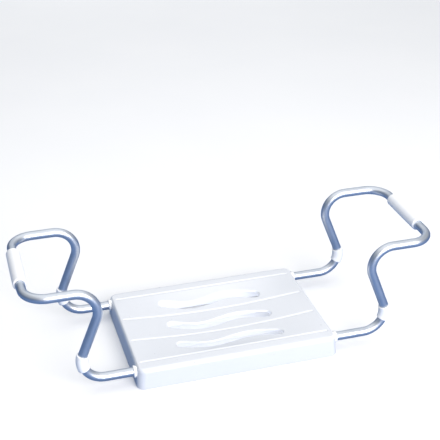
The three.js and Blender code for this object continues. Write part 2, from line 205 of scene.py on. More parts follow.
# How far a cutter goes past the face that it cuts, and the lengths of the round cutters.
OVERCUT = 2.0
SHORT_CUTTER = 20
LONG_CUTTER = 60


# ---- Mesh helpers ----
def new_object(name, points, faces):
    """A mesh object from points in millimetres, with its faces turned outwards."""
    mesh = bpy.data.meshes.new(name)
    mesh.from_pydata((np.asarray(points, float) * MM).tolist(), [], faces)
    work = bmesh.new()
    work.from_mesh(mesh)
    bmesh.ops.remove_doubles(work, verts=work.verts, dist=1e-7)
    bmesh.ops.recalc_face_normals(work, faces=work.faces)
    work.to_mesh(mesh)
    work.free()
    made = bpy.data.objects.new(name, mesh)
    bpy.context.scene.collection.objects.link(made)
    return made


def strip_faces(rows, columns, closed_rows=False, closed_columns=True):
    """Quads over a grid of rows x columns points."""
    faces = []
    for i in range(rows if closed_rows else rows - 1):
        for j in range(columns if closed_columns else columns - 1):
            a, b = i * columns, (i + 1) % rows * columns
            k = (j + 1) % columns
            faces.append((a + j, a + k, b + k, b + j))
    return faces


def stack(name, rings):
    """A closed solid through a stack of closed rings with flat ends."""
    rings = [np.asarray(r, float) for r in rings]
    count, columns = len(rings), len(rings[0])
    faces = strip_faces(count, columns)
    faces.append(tuple(range(columns)))
    faces.append(tuple(range((count - 1) * columns, count * columns)))
    return new_object(name, np.concatenate(rings), faces)


def combine(base, tool, operation):
    """Boolean of two closed solids. The tool is used up."""
    modifier = base.modifiers.new("combine", "BOOLEAN")
    modifier.operation = operation
    modifier.solver = "MANIFOLD"
    modifier.object = tool
    graph = bpy.context.evaluated_depsgraph_get()
    result = bpy.data.meshes.new_from_object(base.evaluated_get(graph), depsgraph=graph)
    base.modifiers.clear()
    base.data = result
    bpy.data.objects.remove(tool)
    return base


def cut(base, *tools):
    """Takes each tool out of the base."""
    for tool in tools:
        combine(base, tool, "DIFFERENCE")


def join(base, *tools):
    """Adds each tool to the base."""
    for tool in tools:
        combine(base, tool, "UNION")


def soften(piece, degrees=32, weighted=True):
    """Smooth shading with crisp edges where faces meet at more than the given angle.

    Weighted normals keep large flat faces even beside small rounded ones.
    """
    piece.data.shade_smooth()
    piece.data.set_sharp_from_angle(angle=math.radians(degrees))
    if weighted:
        modifier = piece.modifiers.new("even_shading", "WEIGHTED_NORMAL")
        modifier.keep_sharp = True
        modifier.weight = 80


def ring_points(radius, segments):
    """The two coordinates of points round a circle."""
    turn = np.linspace(0, 2 * math.pi, segments, endpoint=False)
    return radius * np.cos(turn), radius * np.sin(turn)


def rod(name, centre, axis, radius, length, segments=40):
    """A round cutter centred on a point, along X or Z."""
    a, b = ring_points(radius, segments)
    x, y, z = centre
    rings = []
    for end in (-length / 2, length / 2):
        if axis == "X":
            rings.append(np.stack([np.full(segments, x + end), y + a, z + b], 1))
        else:
            rings.append(np.stack([x + a, y + b, np.full(segments, z + end)], 1))
    return stack(name, rings)


def arc(start, end, steps):
    """Evenly spaced angles in radians, from limits in degrees."""
    return np.radians(np.linspace(start, end, steps))


# ---- Seat ----
def dish(x, y):
    """How far the seat's top sinks at a point in plan."""
    along = np.cos(math.pi * np.clip(np.asarray(x, float) / SEAT_WIDTH, -0.5, 0.5))
    across = np.maximum(0, 1 - np.abs(np.asarray(y, float) / DISH_HALF_LENGTH) ** DISH_POWER)
    return -DISH_DEPTH * along * across


def outline(half_x, half_y, radius, z, per_corner=12):
    """A rounded rectangle in plan, at one height."""
    points = []
    for k, (sx, sy) in enumerate(((1, 1), (-1, 1), (-1, -1), (1, -1))):
        for turn in arc(90 * k, 90 * (k + 1), per_corner + 1):
            points.append((
                sx * (half_x - radius) + radius * math.cos(turn),
                sy * (half_y - radius) + radius * math.sin(turn),
                z,
            ))
    return np.array(points)


def seat_ring(inset, z, end_share=1.0):
    """An outline of the seat. The end share scales the inset at its left and right ends."""
    spread = SEAT_DRAFT * (1 - z / SEAT_HEIGHT)
    return outline(
        SEAT_WIDTH / 2 + spread - inset * end_share,
        SEAT_DEPTH / 2 + spread - inset,
        max(CORNER_RADIUS - inset, LEAST_CORNER_RADIUS),
        z,
    )


def seat_blank():
    """The seat's outside as one solid: a rounded rim, a drafted skirt and a rounded upper edge."""
    rings = []
    for t in arc(0, 90, 4):
        rings.append(seat_ring(RIM_ROUNDING * (1 - math.sin(t)), RIM_ROUNDING * (1 - math.cos(t))))
    for z in SKIRT_HEIGHTS:
        rings.append(seat_ring(0, z))
    shoulder = SEAT_HEIGHT - EDGE_RADIUS
    for t in arc(0, 90, 11):
        inset, rise = EDGE_RADIUS * (1 - math.cos(t)), EDGE_RADIUS * math.sin(t)
        rings.append(seat_ring(inset, shoulder + rise, END_EDGE_SHARE))
    return stack("seat_cover", rings)


def dished_block(name, x0, x1, y0, y1, bottom, top, columns, rows, bend="top", taper=0.0):
    """A block whose upper or lower face follows the dish. Taper narrows its other face."""
    u, v = np.meshgrid(np.linspace(-1, 1, columns + 1), np.linspace(-1, 1, rows + 1))
    middle_x, middle_y = (x0 + x1) / 2, (y0 + y1) / 2
    half_x, half_y = (x1 - x0) / 2, (y1 - y0) / 2
    layers = []
    for z, bent in ((bottom, bend == "bottom"), (top, bend == "top")):
        trim = 0 if bent else taper
        x = middle_x + u * (half_x - (trim if half_x < half_y else 0))
        y = middle_y + v * (half_y - (trim if half_y <= half_x else 0))
        height = z + dish(x, y) if bent else np.full_like(x, z)
        layers.append(np.stack([x, y, height], -1).reshape(-1, 3))
    per_row, per_layer = columns + 1, (columns + 1) * (rows + 1)
    faces = []
    for shift in (0, per_layer):
        faces += [tuple(shift + i for i in f) for f in strip_faces(rows + 1, per_row, False, False)]
    rim = list(range(columns))
    rim += [r * per_row + columns for r in range(rows)]
    rim += [rows * per_row + columns - j for j in range(columns)]
    rim += [(rows - r) * per_row for r in range(rows)]
    for k, a in enumerate(rim):
        b = rim[(k + 1) % len(rim)]
        faces.append((a, b, b + per_layer, a + per_layer))
    return new_object(name, np.concatenate(layers), faces)


def seat_cavity():
    """The hollow under the top, with a rounded upper edge."""
    shoulder = SEAT_HEIGHT - TOP_THICKNESS - HOLLOW_ROUNDING
    inner = [seat_ring(SKIRT_THICKNESS, -OVERCUT), seat_ring(SKIRT_THICKNESS, shoulder)]
    for t in arc(15, 90, 6):
        inset, rise = HOLLOW_ROUNDING * (1 - math.cos(t)), HOLLOW_ROUNDING * math.sin(t)
        inner.append(seat_ring(SKIRT_THICKNESS + inset, shoulder + rise))
    hollow = stack("hollow", inner)
    under = dished_block(
        "under", -SEAT_WIDTH / 2, SEAT_WIDTH / 2, -DISH_HALF_LENGTH, DISH_HALF_LENGTH,
        SEAT_HEIGHT - TOP_THICKNESS, SEAT_HEIGHT + DISH_DEPTH, 60, 40, bend="bottom",
    )
    cut(hollow, under)
    return hollow


def seat_ribs():
    """Tapered ribs under the top, and the guide webs that cross the tube channels.

    Two long ribs lie under the plank joints and two beside the channels. Two short ribs cross the inner pair.
    """
    top, half = SEAT_HEIGHT - TOP_THICKNESS / 2, RIB_HALF_THICKNESS
    end, outer = SEAT_WIDTH / 2 - RIB_END_INSET, SEAT_DEPTH / 2 - RIB_END_INSET
    for y in (-CHANNEL_RIB_Y, -PLANK_PITCH / 2, PLANK_PITCH / 2, CHANNEL_RIB_Y):
        yield dished_block(
            "rib", -end, end, y - half, y + half, RIB_BOTTOM, top, 40, 1, taper=RIB_TAPER,
        )
    for x in (-CROSS_RIB_X, CROSS_RIB_X):
        yield dished_block(
            "rib", x - half, x + half, -CHANNEL_RIB_Y, CHANNEL_RIB_Y, RIB_BOTTOM, top, 1, 30,
            taper=RIB_TAPER,
        )
    web_hole = TUBE_RADIUS + WEB_HOLE_GAP
    for x in (-GUIDE_WEB_X, GUIDE_WEB_X):
        for _, side_y in ENDS:
            y0, y1 = sorted((side_y * CHANNEL_RIB_Y, side_y * outer))
            web = dished_block(
                "web", x - WEB_HALF_THICKNESS, x + WEB_HALF_THICKNESS, y0, y1, GUIDE_WEB_BOTTOM, top,
                1, 8, taper=WEB_TAPER,
            )
            cut(web, rod("hole", (x, side_y * LEG_Y, LEG_Z), "X", web_hole, SHORT_CUTTER))
            yield web


def wave_line(x):
    """How far back a slot's middle line lies, and its heading in radians."""
    turn = 2 * math.pi / SLOT_WAVE_LENGTH
    y = SLOT_WAVE_HEIGHT * np.sin(turn * x) + SLOT_SLOPE * x
    slope = SLOT_WAVE_HEIGHT * turn * np.cos(turn * x) + SLOT_SLOPE
    return y, np.arctan(slope)


def slot_outline(middle_y, half):
    """A wave with round ends, as points in plan."""
    x = np.linspace(-SLOT_REACH, SLOT_REACH, 49)
    y, heading = wave_line(x)
    quarter = math.pi / 2

    def round_end(at, start):
        steps = start + math.pi * np.linspace(0, 1, 17)[1:-1]
        return np.full(len(steps), x[at]), np.full(len(steps), y[at]), steps

    stretches = (
        (x, y, heading - quarter),
        round_end(-1, heading[-1] - quarter),
        (x[::-1], y[::-1], heading[::-1] + quarter),
        round_end(0, heading[0] + quarter),
    )
    xs, ys, turn = (np.concatenate(values) for values in zip(*stretches))
    return xs + half * np.cos(turn), middle_y + ys + half * np.sin(turn)


def slot_cutter(middle_y):
    """A slot with a rounded lip, which follows the dish."""
    rings = []
    x, y = slot_outline(middle_y, SLOT_HALF_WIDTH)
    rings.append(np.stack([x, y, np.full_like(x, SLOT_CUT_BOTTOM)], 1))
    for t in arc(0, SLOT_LIP_ANGLE, 7):
        x, y = slot_outline(middle_y, SLOT_HALF_WIDTH + SLOT_LIP * (1 - math.cos(t)))
        rings.append(np.stack([x, y, SEAT_HEIGHT + dish(x, y) - SLOT_LIP * (1 - math.sin(t))], 1))
    x, y = slot_outline(middle_y, SLOT_HALF_WIDTH + SLOT_LIP * SLOT_LIP_FLARE)
    rings.append(np.stack([x, y, SEAT_HEIGHT + dish(x, y) + SLOT_CLEARANCE], 1))
    rings.append(np.stack([x, y, np.full_like(x, SEAT_HEIGHT + DISH_DEPTH)], 1))
    return stack("slot", rings)


def groove_cutter(y):
    """A shallow groove along a plank joint, with soft lips and round ends."""
    across = np.linspace(-1, 1, 17)
    profile = (0.5 + 0.5 * np.cos(math.pi * across)) ** GROOVE_LIP_POWER
    half = SEAT_WIDTH / 2 - GROOVE_END_MARGIN
    fade_start = half - GROOVE_FADE
    x = np.concatenate([
        -half + GROOVE_FADE * (1 - np.cos(arc(0, 90, 7))),
        np.linspace(-fade_start, fade_start, 61)[1:-1],
        fade_start + GROOVE_FADE * np.sin(arc(0, 90, 7)),
    ])
    past = np.maximum(0, np.abs(x) - fade_start) / GROOVE_FADE
    fade = np.clip(1 - past ** 2, 0, 1) ** 0.5
    rings = []
    for at, size in zip(x, fade):
        width = GROOVE_HALF_WIDTH * (GROOVE_END_WIDTH + (1 - GROOVE_END_WIDTH) * size)
        ys = y + across * width
        # The cutter starts just above the top, and comes closer to it where the groove fades out.
        clearance = GROOVE_CLEARANCE - GROOVE_END_DROP * (1 - size)
        depth = (GROOVE_DEPTH + GROOVE_CLEARANCE) * profile * size
        low = SEAT_HEIGHT + dish(at, ys) + clearance - depth
        high = np.full(2, SEAT_HEIGHT + DISH_DEPTH)
        ring_y = np.concatenate([ys, ys[[-1, 0]]])
        rings.append(np.stack([np.full(len(ring_y), at), ring_y, np.concatenate([low, high])], 1))
    return stack("groove", rings)


def seat_shell():
    """The whole moulding: dished top, hollow, ribs, screw bosses, tube holes, slots and grooves."""
    seat = seat_blank()
    reach = SEAT_WIDTH / 2 + DISH_OVERREACH
    cut(seat, dished_block(
        "bowl", -reach, reach, -DISH_HALF_LENGTH, DISH_HALF_LENGTH,
        SEAT_HEIGHT, SEAT_HEIGHT + 2 * DISH_DEPTH, 104, 60, bend="bottom",
    ))
    cut(seat, seat_cavity())
    join(seat, *seat_ribs())
    for name in screw_nodes:
        low, high = box_mm(name)
        x, y = (low + high)[:2] / 2
        boss_top = SEAT_HEIGHT - TOP_THICKNESS / 2
        middle = (LEG_Z + boss_top) / 2
        join(seat, rod("boss", (x, y, middle), "Z", BOSS_RADIUS, boss_top - LEG_Z, 28))
        cut(seat, rod("pilot", (x, y, high[2] / 2), "Z", SCREW_HOLE_RADIUS, high[2] + OVERCUT, 24))
    for side in (-1, 1):
        for _, side_y in ENDS:
            entry = (side * SEAT_WIDTH / 2, side_y * LEG_Y, LEG_Z)
            cut(seat, rod("hole", entry, "X", ENTRY_HOLE_RADIUS, SHORT_CUTTER, 56))
    for row in (-1, 0, 1):
        cut(seat, slot_cutter(row * SLOT_PITCH + SLOT_SHIFT_Y))
    for row in (-1.5, -0.5, 0.5, 1.5):
        cut(seat, groove_cutter(row * PLANK_PITCH))
    return seat


# ---- Hangers ----
def unit(vector):
    return vector / np.linalg.norm(vector)


def arc_stations(centre, start, end, steps):
    """Points and directions round an arc, from one radius vector to another."""
    axis = unit(np.cross(start, end))
    sweep = math.acos(np.clip(start @ end / (np.linalg.norm(start) * np.linalg.norm(end)), -1, 1))
    other = np.cross(axis, start)
    points, tangents = [], []
    for t in np.linspace(0, sweep, steps + 1):
        radial = start * math.cos(t) + other * math.sin(t)
        tangent = np.cross(axis, radial)
        points.append(centre + radial)
        tangents.append(unit(tangent))
    return points, tangents


def bent_route(corners, steps):
    """Stations and directions along straights joined by round bends."""
    points, tangents = [corners[0]], [unit(corners[1] - corners[0])]
    for before, corner, after in zip(corners, corners[1:], corners[2:]):
        a, b = unit(corner - before), unit(after - corner)
        turn = math.acos(np.clip(a @ b, -1, 1))
        centre = corner + unit(b - a) * BEND_RADIUS / math.cos(turn / 2)
        setback = BEND_RADIUS * math.tan(turn / 2)
        first, last = corner - a * setback - centre, corner + b * setback - centre
        bend_points, bend_tangents = arc_stations(centre, first, last, steps)
        points += bend_points
        tangents += bend_tangents
    points.append(corners[-1])
    tangents.append(unit(corners[-1] - corners[-2]))
    return spaced(points, tangents)


def spaced(points, tangents, gap=14.0):
    """Adds stations along the straights so that no step is long."""
    all_points, all_tangents = [points[0]], [tangents[0]]
    for point, tangent in zip(points[1:], tangents[1:]):
        start = all_points[-1]
        count = int(np.linalg.norm(point - start) // gap)
        for k in range(1, count + 1):
            all_points.append(start + (point - start) * k / (count + 1))
            all_tangents.append(unit(point - start))
        all_points.append(point)
        all_tangents.append(tangent)
    return np.array(all_points), np.array(all_tangents)


def carried_frames(tangents):
    """A side direction at each station, carried along without twist."""
    side = np.cross(tangents[0], (0.0, 0.0, 1.0))
    if np.linalg.norm(side) < 1e-6:
        side = np.array([0.0, 1.0, 0.0])
    sides = []
    for tangent in tangents:
        side = unit(side - tangent * (side @ tangent))
        sides.append(side)
    return np.array(sides)


def sweep(name, points, tangents, profile, segments):
    """A closed ring-shaped section carried along a route.

    The profile lists (station, radius) pairs round the wall and back to its start.
    """
    sides = carried_frames(tangents)
    ups = np.cross(tangents, sides)
    a, b = ring_points(1.0, segments)
    rings = [
        points[i] + radius * (np.outer(a, sides[i]) + np.outer(b, ups[i]))
        for i, radius in profile
    ]
    return new_object(name, np.concatenate(rings), strip_faces(len(rings), segments, closed_rows=True))


def hanger_corners(side):
    """Where the straights of a hanger's middle line meet, from its front end to its back end."""
    low, high = box_mm("right_hanger_tube" if side > 0 else "left_hanger_tube")
    bar = high[0] - TUBE_RADIUS if side > 0 else low[0] + TUBE_RADIUS
    end = low[0] if side > 0 else high[0]
    half = [
        (end, LEG_Z),
        (bar - side * LOWER_CORNER_REACH, LEG_Z),
        (bar - side * UPPER_CORNER_REACH, ARM_Z),
        (bar, ARM_Z),
    ]
    front = [np.array([x, -LEG_Y, z]) for x, z in half]
    return front + [p * (1, -1, 1) for p in front[::-1]]


def hanger_tube(side_name, side):
    """A hanger's tube, hollow and open at both ends."""
    points, tangents = bent_route(hanger_corners(side), 22)
    outer, inner = TUBE_RADIUS, TUBE_RADIUS - TUBE_WALL
    last = len(points) - 1
    profile = [(i, outer) for i in range(last + 1)] + [(i, inner) for i in range(last, -1, -1)]
    return sweep(f"{side_name}_tube", points, tangents, profile, 56)


def bumper(side_name, side, end_name, side_y):
    """A thick soft sleeve round the outermost part of a lower bend, with rounded ends."""
    corners = hanger_corners(side)
    corner, upper = corners[1], corners[2]
    rise = unit(upper - corner)
    turn = math.acos(rise @ np.array([side, 0.0, 0.0]))
    centre = corner + np.array([-side * BEND_RADIUS * math.tan(turn / 2), 0.0, BEND_RADIUS])
    centre[1] = side_y * LEG_Y

    def radial(degrees):
        t = math.radians(degrees)
        return BEND_RADIUS * np.array([side * math.cos(t), 0.0, math.sin(t)])

    steps = 60
    points, tangents = arc_stations(centre, radial(BUMPER_START), radial(BUMPER_END), steps)
    low, high = box_mm(f"{side_name}_{end_name}_bumper")
    outer = (high[1] - low[1]) / 2
    inner = TUBE_RADIUS + SLEEVE_GAP
    rounded_steps = 2
    profile = []
    for i in range(steps + 1):
        inset = max(0, rounded_steps - min(i, steps - i)) / rounded_steps
        profile.append((i, outer - BUMPER_ROUNDING * (1 - math.sqrt(1 - inset ** 2))))
    profile += [(i, inner) for i in range(steps, -1, -1)]
    return sweep(f"{side_name}_{end_name}_sleeve", np.array(points), np.array(tangents), profile, 48)


def turned(name, profile, axis, centre, segments=48):
    """A body turned about an axis from a closed profile of (radius, place along the axis)."""
    rings = []
    for radius, along in profile:
        a, b = ring_points(max(radius, 0.0), segments)
        c = np.full(segments, along)
        order = {"X": (c, a, b), "Y": (b, c, a), "Z": (a, b, c)}[axis]
        rings.append(np.stack(order, 1) + np.array(centre))
    return new_object(name, np.concatenate(rings), strip_faces(len(rings), segments, closed_rows=True))


def grip(side_name):
    """The sleeve on the crossbar, with a slight swell and a narrow collar at each end."""
    low, high = box_mm(f"{side_name}_grip_sleeve")
    centre = (low + high) / 2
    outer, half = (high[0] - low[0]) / 2, (high[1] - low[1]) / 2
    inner = TUBE_RADIUS + SLEEVE_GAP
    profile = grip_half_profile(outer, half)
    mirrored = [(radius, -y) for radius, y in profile[::-1]]
    wall = [(inner, -half)] + mirrored + profile + [(inner, half)]
    return turned(f"{side_name}_grip", wall, "Y", centre)


def grip_half_profile(outer, half):
    """Radius and place along the back half of the grip, from its middle to its end."""
    # The stations lie closer near the end, where the collar is.
    places = np.concatenate([np.linspace(0, half - 12, 7), np.linspace(half - 11, half - 2.6, 12)])
    points = []
    for y in places:
        swell = GRIP_SWELL * (y / half) ** 2
        from_collar = (y - (half - GRIP_COLLAR_INSET)) / GRIP_COLLAR_WIDTH
        collar = GRIP_COLLAR_DEPTH * math.exp(-from_collar ** 2)
        points.append((outer - swell - collar, y))
    edge = points[-1][0]
    for t in arc(10, 90, 7):
        radius = edge - GRIP_ROUNDING * (1 - math.cos(t))
        points.append((radius, half - GRIP_ROUNDING * (1 - math.sin(t))))
    return points


def bush(side_name, side, end_name):
    """A flanged bush where the tube enters the seat."""
    low, high = box_mm(f"{side_name}_{end_name}_entry_bush")
    centre = (low + high) / 2
    centre[0] = 0
    outside, inside = (high[0], low[0]) if side > 0 else (low[0], high[0])
    flange_radius = (high[1] - low[1]) / 2
    face = outside - side * BUSH_FLANGE_LENGTH
    inner, body = TUBE_RADIUS + BUSH_GAP, BUSH_BODY_RADIUS
    edge, mouth = BUSH_FLANGE_ROUNDING, BUSH_MOUTH_ROUNDING
    wall = [(inner, inside), (body, inside), (body, face), (flange_radius, face)]
    wall += [
        (flange_radius - edge * (1 - math.cos(t)), outside - side * edge * (1 - math.sin(t)))
        for t in arc(0, 90, 6)
    ]
    wall += [
        (inner + mouth * (1 - math.sin(t)), outside - side * mouth * (1 - math.cos(t)))
        for t in arc(0, 90, 4)
    ]
    return turned(f"{side_name}_{end_name}_bush", wall, "X", centre)


def plug(side_name, side, end_name):
    """A domed plug in the tube's inner end."""
    low, high = box_mm(f"{side_name}_{end_name}_end_plug")
    centre = (low + high) / 2
    centre[0] = 0
    outside, inside = (low[0], high[0]) if side > 0 else (high[0], low[0])
    body, flange = TUBE_RADIUS - TUBE_WALL - PLUG_GAP, TUBE_RADIUS - PLUG_FLANGE_INSET
    edge, back = PLUG_FLANGE_ROUNDING, outside + side * PLUG_FLANGE_LENGTH
    profile = [(0.0, outside)]
    profile += [
        (flange - edge * (1 - math.sin(t)), outside + side * edge * (1 - math.cos(t)))
        for t in arc(0, 90, 6)
    ]
    profile += [(flange, back), (body, back)]
    for k in range(PLUG_RIDGES):
        profile.append((body - PLUG_RIDGE_DEPTH * (k % 2), outside + side * (PLUG_RIDGE_START + k)))
    profile += [(body - PLUG_LEAD_IN, inside), (0.0, inside)]
    return turned(f"{side_name}_{end_name}_plug", profile, "X", centre, 40)


def clamp(side_name, end_name):
    """A moulded saddle with rounded edges, a groove for the tube and two screw holes."""
    low, high = box_mm(f"{side_name}_{end_name}_clamp")
    x, y = ((low + high) / 2)[:2]
    half_x, half_y = ((high - low) / 2)[:2]
    levels = []
    for t in arc(0, 90, 5):
        lift = CLAMP_LOWER_ROUNDING * (1 - math.cos(t))
        levels.append((CLAMP_LOWER_ROUNDING * (1 - math.sin(t)), low[2] + lift))
    for t in arc(0, 90, 4):
        drop = CLAMP_UPPER_ROUNDING * (1 - math.sin(t))
        levels.append((CLAMP_UPPER_ROUNDING * (1 - math.cos(t)), high[2] - drop))
    rings = [
        outline(half_x - inset, half_y - inset, CLAMP_CORNER_RADIUS - inset, z) + (x, y, 0)
        for inset, z in levels
    ]
    saddle = stack(f"{side_name}_{end_name}_saddle", rings)
    groove = TUBE_RADIUS + CLAMP_GROOVE_GAP
    cut(saddle, rod("groove", (x, y, LEG_Z), "X", groove, LONG_CUTTER, 56))
    for row in ("inner", "outer"):
        screw_low, screw_high = box_mm(f"{side_name}_{end_name}_{row}_screw")
        hole_x, hole_y = ((screw_low + screw_high) / 2)[:2]
        top, bottom = (hole_x, hole_y, high[2]), (hole_x, hole_y, low[2])
        cut(saddle, rod("hole", top, "Z", SCREW_HOLE_RADIUS, LONG_CUTTER, 28))
        cut(saddle, rod("counterbore", bottom, "Z", COUNTERBORE_RADIUS, 2 * COUNTERBORE_DEPTH, 32))
    return saddle


def screw(name):
    """A pan-head screw with a domed head, a cross recess and a ridged shank."""
    low, high = box_mm(name)
    x, y = ((low + high) / 2)[:2]
    head = (high[0] - low[0]) / 2
    shank, pitch = SHANK_RADIUS, THREAD_PITCH
    full_dome = 1 - math.cos(math.radians(HEAD_DOME_ANGLE))
    profile = [(0.0, low[2])]
    for t in arc(8, HEAD_DOME_ANGLE, 9):
        rise = HEAD_DOME_HEIGHT * (1 - math.cos(t)) / full_dome
        profile.append((head * math.sin(t), low[2] + rise))
    top = low[2] + HEAD_HEIGHT
    profile += [(head * 0.99, top - 0.2), (head * 0.96, top), (shank * 0.85, top)]
    point = high[2] - SCREW_POINT_LENGTH
    for k in range(int((point - top) // pitch)):
        profile += [(shank * 0.8, top + (k + 0.15) * pitch), (shank, top + (k + 0.6) * pitch)]
    profile += [(shank * 0.75, point), (0.4, high[2]), (0.0, high[2])]
    body = turned(f"{name}_turned", profile, "Z", (x, y, 0), 36)
    for wide, deep in ((RECESS_LENGTH, RECESS_WIDTH), (RECESS_WIDTH, RECESS_LENGTH)):
        mouth = outline(wide / 2, deep / 2, 0.2, low[2] - 1, 3)
        floor = outline(wide / 2 * 0.7, deep / 2 * 0.8, 0.15, low[2] + RECESS_DEPTH, 3)
        cut(body, stack("recess", [mouth + (x, y, 0), floor + (x, y, 0)]))
    return body


screw_nodes = [
    f"{side_name}_{end_name}_{row}_screw"
    for side_name, _ in SIDES for end_name, _ in ENDS for row in ("inner", "outer")
]


# ---- Materials ----
def new_material(name):
    """A node material with its shader and a noise source in the object's own space."""
    material = bpy.data.materials.new(name)
    material.use_nodes = True
    nodes, links = material.node_tree.nodes, material.node_tree.links
    shader = nodes["Principled BSDF"]
    place = nodes.new("ShaderNodeTexCoord").outputs["Object"]
    return material, nodes, links, shader, place


def noise(nodes, links, place, scale, detail=3.0, rough=0.5, stretch=None):
    """A noise texture's value. Stretch scales the space along each axis first."""
    if stretch:
        mapping = nodes.new("ShaderNodeMapping")
        mapping.inputs["Scale"].default_value = stretch
        links.new(place, mapping.inputs["Vector"])
        place = mapping.outputs["Vector"]
    texture = nodes.new("ShaderNodeTexNoise")
    texture.inputs["Scale"].default_value = scale
    texture.inputs["Detail"].default_value = detail
    texture.inputs["Roughness"].default_value = rough
    links.new(place, texture.inputs["Vector"])
    return texture.outputs["Fac"]


def ramp(nodes, links, value, stops):
    """Maps a value through colour stops of (place, colour)."""
    node = nodes.new("ShaderNodeValToRGB")
    elements = node.color_ramp.elements
    while len(elements) < len(stops):
        elements.new(0.5)
    for element, (at, colour) in zip(elements, stops):
        element.position = at
        element.color = (*colour, 1.0)
    links.new(value, node.inputs["Fac"])
    return node.outputs["Color"]


def tint(nodes, links, value, dark, light):
    """Colours a noise value from dark to light."""
    return ramp(nodes, links, value, [(NOISE_LOW, dark), (NOISE_HIGH, light)])


def level(nodes, links, value, low, high):
    """Maps a noise value to a range of numbers."""
    node = nodes.new("ShaderNodeMapRange")
    node.inputs["From Min"].default_value = NOISE_LOW
    node.inputs["From Max"].default_value = NOISE_HIGH
    node.inputs["To Min"].default_value = low
    node.inputs["To Max"].default_value = high
    links.new(value, node.inputs["Value"])
    return node.outputs["Result"]


def mix_colour(nodes, links, factor, first, second):
    """The first colour where the factor is 0, and the second where it is 1."""
    node = nodes.new("ShaderNodeMix")
    node.data_type = "RGBA"
    links.new(factor, node.inputs["Factor"])
    colours = [socket for socket in node.inputs if socket.type == "RGBA"]
    links.new(first, colours[0])
    links.new(second, colours[1])
    return next(socket for socket in node.outputs if socket.type == "RGBA")


def add_bump(nodes, links, shader, layers):
    """Stacks bump layers of (height, strength, distance in metres)."""
    normal = None
    for height, strength, distance in layers:
        bump = nodes.new("ShaderNodeBump")
        bump.inputs["Strength"].default_value = strength
        bump.inputs["Distance"].default_value = distance
        links.new(height, bump.inputs["Height"])
        if normal is not None:
            links.new(normal, bump.inputs["Normal"])
        normal = bump.outputs["Normal"]
    links.new(normal, shader.inputs["Normal"])


def seat_plastic():
    """Moulded white plastic with a soft gloss."""
    material, nodes, links, shader, place = new_material("seat_plastic")
    broad = noise(nodes, links, place, scale=9, detail=2)
    fine = noise(nodes, links, place, scale=420, detail=2)
    handling = noise(nodes, links, place, scale=60, detail=5, rough=0.65)
    colour = tint(nodes, links, broad, dark=(0.705, 0.727, 0.765), light=(0.73, 0.75, 0.785))
    links.new(colour, shader.inputs["Base Color"])
    links.new(level(nodes, links, handling, 0.27, 0.33), shader.inputs["Roughness"])
    add_bump(nodes, links, shader, [(fine, 0.03, 0.0001), (broad, 0.15, 0.002)])
    shader.inputs["IOR"].default_value = 1.49
    shader.inputs["Coat Weight"].default_value = 0.12
    shader.inputs["Coat Roughness"].default_value = 0.12
    return material


def grip_plastic():
    """Soft white plastic with a fine grain."""
    material, nodes, links, shader, place = new_material("grip_plastic")
    grain = noise(nodes, links, place, scale=1400, detail=2, rough=0.6)
    wear = noise(nodes, links, place, scale=70, detail=4, rough=0.6)
    colour = tint(nodes, links, wear, dark=(0.92, 0.925, 0.93), light=(0.95, 0.952, 0.955))
    links.new(colour, shader.inputs["Base Color"])
    links.new(level(nodes, links, wear, 0.42, 0.55), shader.inputs["Roughness"])
    add_bump(nodes, links, shader, [(grain, 0.12, 0.0002), (wear, 0.12, 0.0006)])
    return material


def fitting_plastic():
    """Pale grey plastic with a grain and faint flow marks."""
    material, nodes, links, shader, place = new_material("fitting_plastic")
    grain = noise(nodes, links, place, scale=1100, rough=0.7)
    flow = noise(nodes, links, place, scale=45, stretch=(1.0, 3.0, 1.0))
    colour = tint(nodes, links, flow, dark=(0.60, 0.63, 0.66), light=(0.67, 0.69, 0.72))
    links.new(colour, shader.inputs["Base Color"])
    links.new(level(nodes, links, grain, 0.45, 0.62), shader.inputs["Roughness"])
    add_bump(nodes, links, shader, [(grain, 0.35, 0.0003)])
    return material


def tube_metal():
    """Satin chrome."""
    material, nodes, links, shader, place = new_material("tube_metal")
    haze = noise(nodes, links, place, scale=26, detail=4, rough=0.6)
    polish = noise(nodes, links, place, scale=260, detail=2, stretch=(0.25, 1.0, 1.0))
    colour = tint(nodes, links, haze, dark=(0.61, 0.65, 0.70), light=(0.67, 0.70, 0.75))
    links.new(colour, shader.inputs["Base Color"])
    links.new(level(nodes, links, haze, 0.35, 0.40), shader.inputs["Roughness"])
    add_bump(nodes, links, shader, [(polish, 0.01, 0.0001)])
    shader.inputs["Metallic"].default_value = 1.0
    shader.inputs["Specular Tint"].default_value = (0.45, 0.57, 0.75, 1.0)
    return material


def screw_steel():
    """Zinc-plated steel."""
    material, nodes, links, shader, place = new_material("screw_steel")
    plate = noise(nodes, links, place, scale=900, detail=4, rough=0.7)
    patch = noise(nodes, links, place, scale=160, rough=0.6)
    colour = tint(nodes, links, patch, dark=(0.55, 0.57, 0.59), light=(0.68, 0.69, 0.70))
    links.new(colour, shader.inputs["Base Color"])
    links.new(level(nodes, links, plate, 0.28, 0.45), shader.inputs["Roughness"])
    add_bump(nodes, links, shader, [(plate, 0.3, 0.0002)])
    shader.inputs["Metallic"].default_value = 1.0
    return material


def floor_paint():
    """White where it is looked at, and slate in the light that it sends back to the bench."""
    material, nodes, links, shader, place = new_material("floor_paint")
    cloud = noise(nodes, links, place, scale=3)
    colour = tint(nodes, links, cloud, dark=(0.955, 0.957, 0.96), light=(0.97, 0.97, 0.97))
    bounce = tint(nodes, links, cloud, dark=(0.14, 0.24, 0.45), light=(0.15, 0.25, 0.47))
    looked_at = nodes.new("ShaderNodeLightPath").outputs["Is Camera Ray"]
    links.new(mix_colour(nodes, links, looked_at, bounce, colour), shader.inputs["Base Color"])
    links.new(level(nodes, links, cloud, 0.75, 0.85), shader.inputs["Roughness"])
    shader.inputs["Specular IOR Level"].default_value = 0.2
    return material


